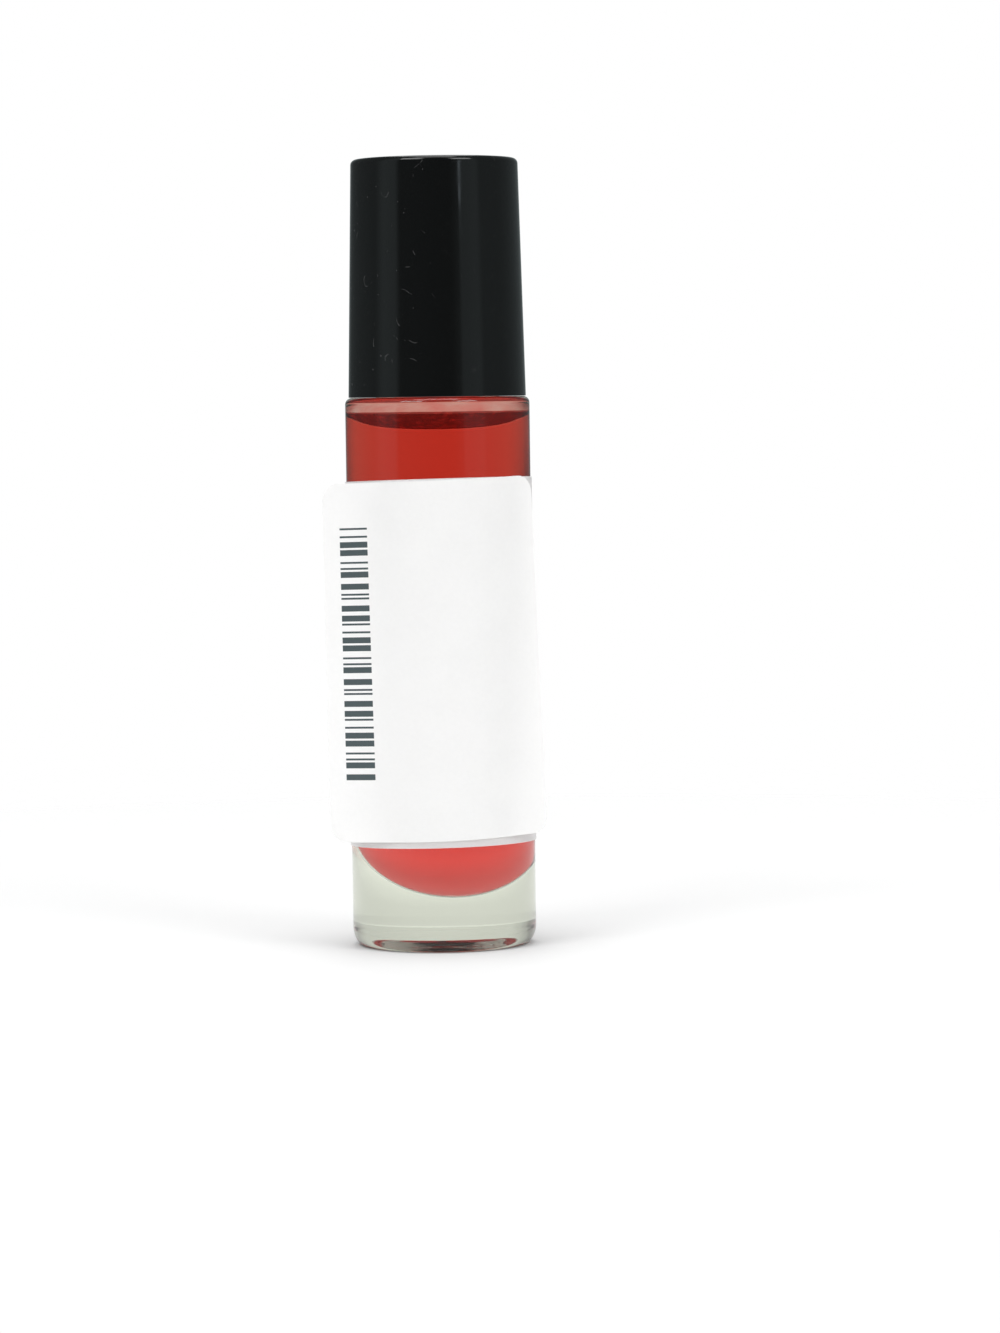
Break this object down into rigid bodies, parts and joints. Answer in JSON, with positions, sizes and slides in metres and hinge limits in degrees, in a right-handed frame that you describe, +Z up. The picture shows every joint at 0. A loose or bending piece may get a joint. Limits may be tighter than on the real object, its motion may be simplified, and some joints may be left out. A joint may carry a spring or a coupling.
{
  "type": "perfume oil bottle",
  "caption": "Slim roll-on perfume oil bottle in thick clear glass, with red oil, a glossy black screw cap, a wrap-round white label and a rounded barcode sticker.",
  "frame": {"origin": "centre of the flat base, on the bottle's axis", "axes": "+Z up along the bottle's axis to the cap; the middle of the barcode sticker's stuck part faces about -Y, and +X is to its right"},
  "size_m": [0.0239, 0.0209, 0.0852],
  "materials": {
    "clear_glass": "clear moulded glass, very faintly green, thick at the base",
    "red_oil": "clear red oil",
    "housing_plastic": "milky soft plastic",
    "ball_steel": "polished steel",
    "cap_black": "glossy black moulding with faint scratches",
    "liner_plastic": "white moulded plastic",
    "label_paper": "white satin label paper",
    "sticker_paper": "matt white sticker paper with dark print"
  },
  "bodies": {
    "bottle": {"glass_bottle": "clear_glass", "perfume_oil": "red_oil", "roller_housing": "housing_plastic", "wrap_label": "label_paper", "barcode_sticker": "sticker_paper"},
    "cap": {"cap_shell": "cap_black", "cap_liner": "liner_plastic"},
    "ball": {"roller_ball": "ball_steel"}
  },
  "joints": [
    {"name": "cap_lift", "type": "slide", "parent": "bottle", "child": "cap", "axis": [0, 0, 1], "range_m": [0, 0.03]},
    {"name": "ball_roll", "type": "hinge", "parent": "bottle", "child": "ball", "pos_m": [0, 0, 0.07209], "axis": [1, 0, 0], "continuous": true}
  ]
}
